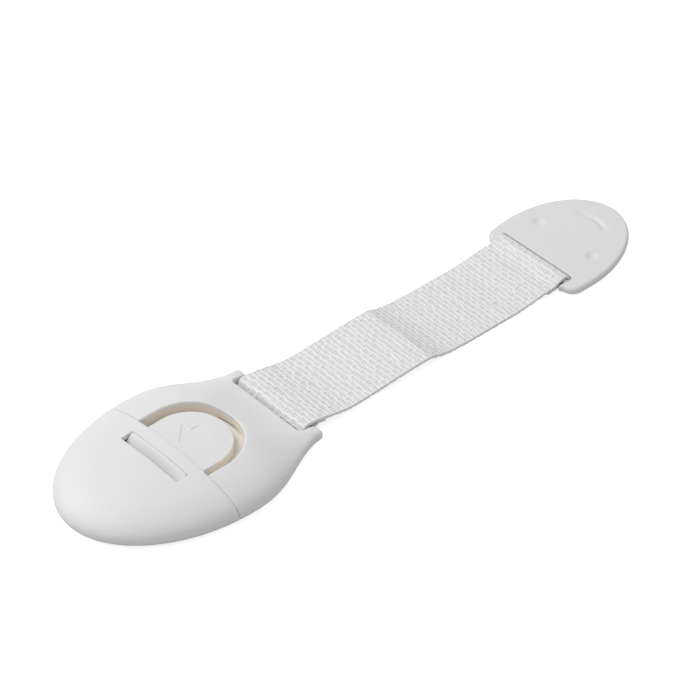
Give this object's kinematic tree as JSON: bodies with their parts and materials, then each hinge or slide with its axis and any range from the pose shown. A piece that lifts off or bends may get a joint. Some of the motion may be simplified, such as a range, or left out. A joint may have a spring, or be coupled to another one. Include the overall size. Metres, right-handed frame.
{
  "type": "cabinet safety lock",
  "caption": "Adhesive strap lock for a cupboard or drawer: an oval lock head with a sliding D-shaped button, a webbing strap and a small stick-on tab.",
  "frame": {"origin": "middle of the lock head's adhesive face, on the seat of the head's round part", "axes": "+X from the lock head to the tab, +Z away from the furniture, +Y across the strap"},
  "size_m": [0.1898, 0.052, 0.0094],
  "materials": {
    "white_plastic": "satin moulded",
    "inner_plastic": "satin moulded",
    "foam": "closed-cell foam adhesive pad",
    "webbing": "coarse plain weave",
    "steel": "drawn wire"
  },
  "bodies": {
    "base": {"base_foam_pad": "foam", "base_plate": "inner_plastic", "front_cap": "white_plastic", "return_spring": "steel"},
    "button": {"release_button": "white_plastic", "latch_slide": "inner_plastic", "latch_tongue": "inner_plastic"},
    "head": {"head_shell": "white_plastic"},
    "strap_a": {"strap_head_half": "webbing", "strap_crease": "webbing"},
    "strap_b": {"strap_tab_half": "webbing"},
    "tab": {"tab_plate": "white_plastic", "tab_foam_pad": "foam"}
  },
  "joints": [
    {"name": "button_slide", "type": "slide", "parent": "base", "child": "button", "axis": [-1, 0, 0], "range_m": [0, 0.0016], "stiffness_N_per_m": 400, "springref_m": -0.003, "deforming": ["return_spring"]},
    {"name": "head_lift", "type": "slide", "parent": "base", "child": "head", "axis": [0, 0, 1], "range_m": [0, 0.03], "deforming": ["latch_tongue"]},
    {"name": "strap_head_hinge", "type": "hinge", "parent": "head", "child": "strap_a", "pos_m": [0.0291, 0, 0.00235], "axis": [0, -1, 0], "range_deg": [-60, 80]},
    {"name": "strap_fold", "type": "hinge", "parent": "strap_a", "child": "strap_b", "pos_m": [0.07009, 0, 0.0026], "axis": [0, -1, 0], "range_deg": [-95, 95], "deforming": ["strap_crease"]},
    {"name": "tab_hinge", "type": "hinge", "parent": "strap_b", "child": "tab", "pos_m": [0.1206, 0, 0.00185], "axis": [0, -1, 0], "range_deg": [-90, 90]}
  ]
}
